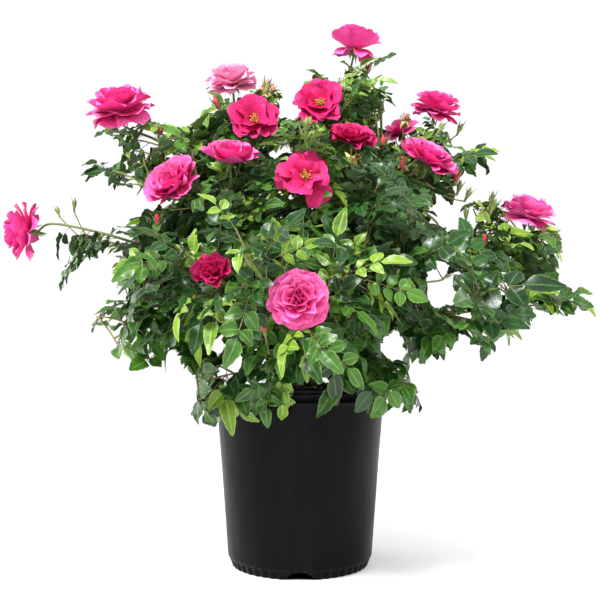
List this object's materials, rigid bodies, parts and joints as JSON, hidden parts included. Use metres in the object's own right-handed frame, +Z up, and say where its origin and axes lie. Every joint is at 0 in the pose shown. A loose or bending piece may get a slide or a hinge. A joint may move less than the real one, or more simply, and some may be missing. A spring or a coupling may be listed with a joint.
{
  "type": "potted rose bush",
  "caption": "Shrub rose with pink double flowers, arching canes and compound leaves, rising from growing mix in a black plastic nursery pot.",
  "frame": {"origin": "centre of the pot's flat underside, which stands on the ground at Z = 0", "axes": "+Z up along the pot's axis, -Y towards the plant's best side, +X to that side's right"},
  "size_m": [0.8671, 0.707, 0.8139],
  "materials": {
    "pot_plastic": "satin",
    "growing_mix": "matte",
    "cane": "matte",
    "foliage": "satin"
  },
  "bodies": {
    "root": {"pot": "pot_plastic", "growing_mix": "growing_mix", "stem_base": "cane", "top_cane": "cane", "top_mass": "foliage", "upper_left_cane": "cane", "upper_left_mass": "foliage", "far_left_cane": "cane", "far_left_mass": "foliage", "front_cane": "cane", "front_mass": "foliage", "upper_right_cane": "cane", "upper_right_mass": "foliage", "far_right_cane": "cane", "far_right_mass": "foliage", "back_cane": "cane", "back_mass": "foliage", "back_right_cane": "cane", "back_right_mass": "foliage", "back_left_cane": "cane", "back_left_mass": "foliage", "crown_left_cane": "cane", "crown_left_mass": "foliage", "crown_middle_cane": "cane", "crown_middle_mass": "foliage", "left_cane": "cane", "left_mass": "foliage", "left_low_cane": "cane", "left_low_mass": "foliage", "rim_left_cane": "cane", "rim_left_mass": "foliage", "front_left_cane": "cane", "front_left_mass": "foliage", "front_high_cane": "cane", "front_high_mass": "foliage", "middle_left_cane": "cane", "middle_left_mass": "foliage", "middle_right_cane": "cane", "middle_right_mass": "foliage", "front_right_cane": "cane", "front_right_mass": "foliage", "rim_right_cane": "cane", "rim_right_mass": "foliage", "right_front_cane": "cane", "right_front_mass": "foliage", "right_cane": "cane", "right_mass": "foliage", "right_low_cane": "cane", "right_low_mass": "foliage", "back_high_cane": "cane", "back_high_mass": "foliage", "back_left_high_cane": "cane", "back_left_high_mass": "foliage", "back_right_high_cane": "cane", "back_right_high_mass": "foliage", "back_left_low_cane": "cane", "back_left_low_mass": "foliage", "back_right_low_cane": "cane", "back_right_low_mass": "foliage"}
  },
  "joints": []
}
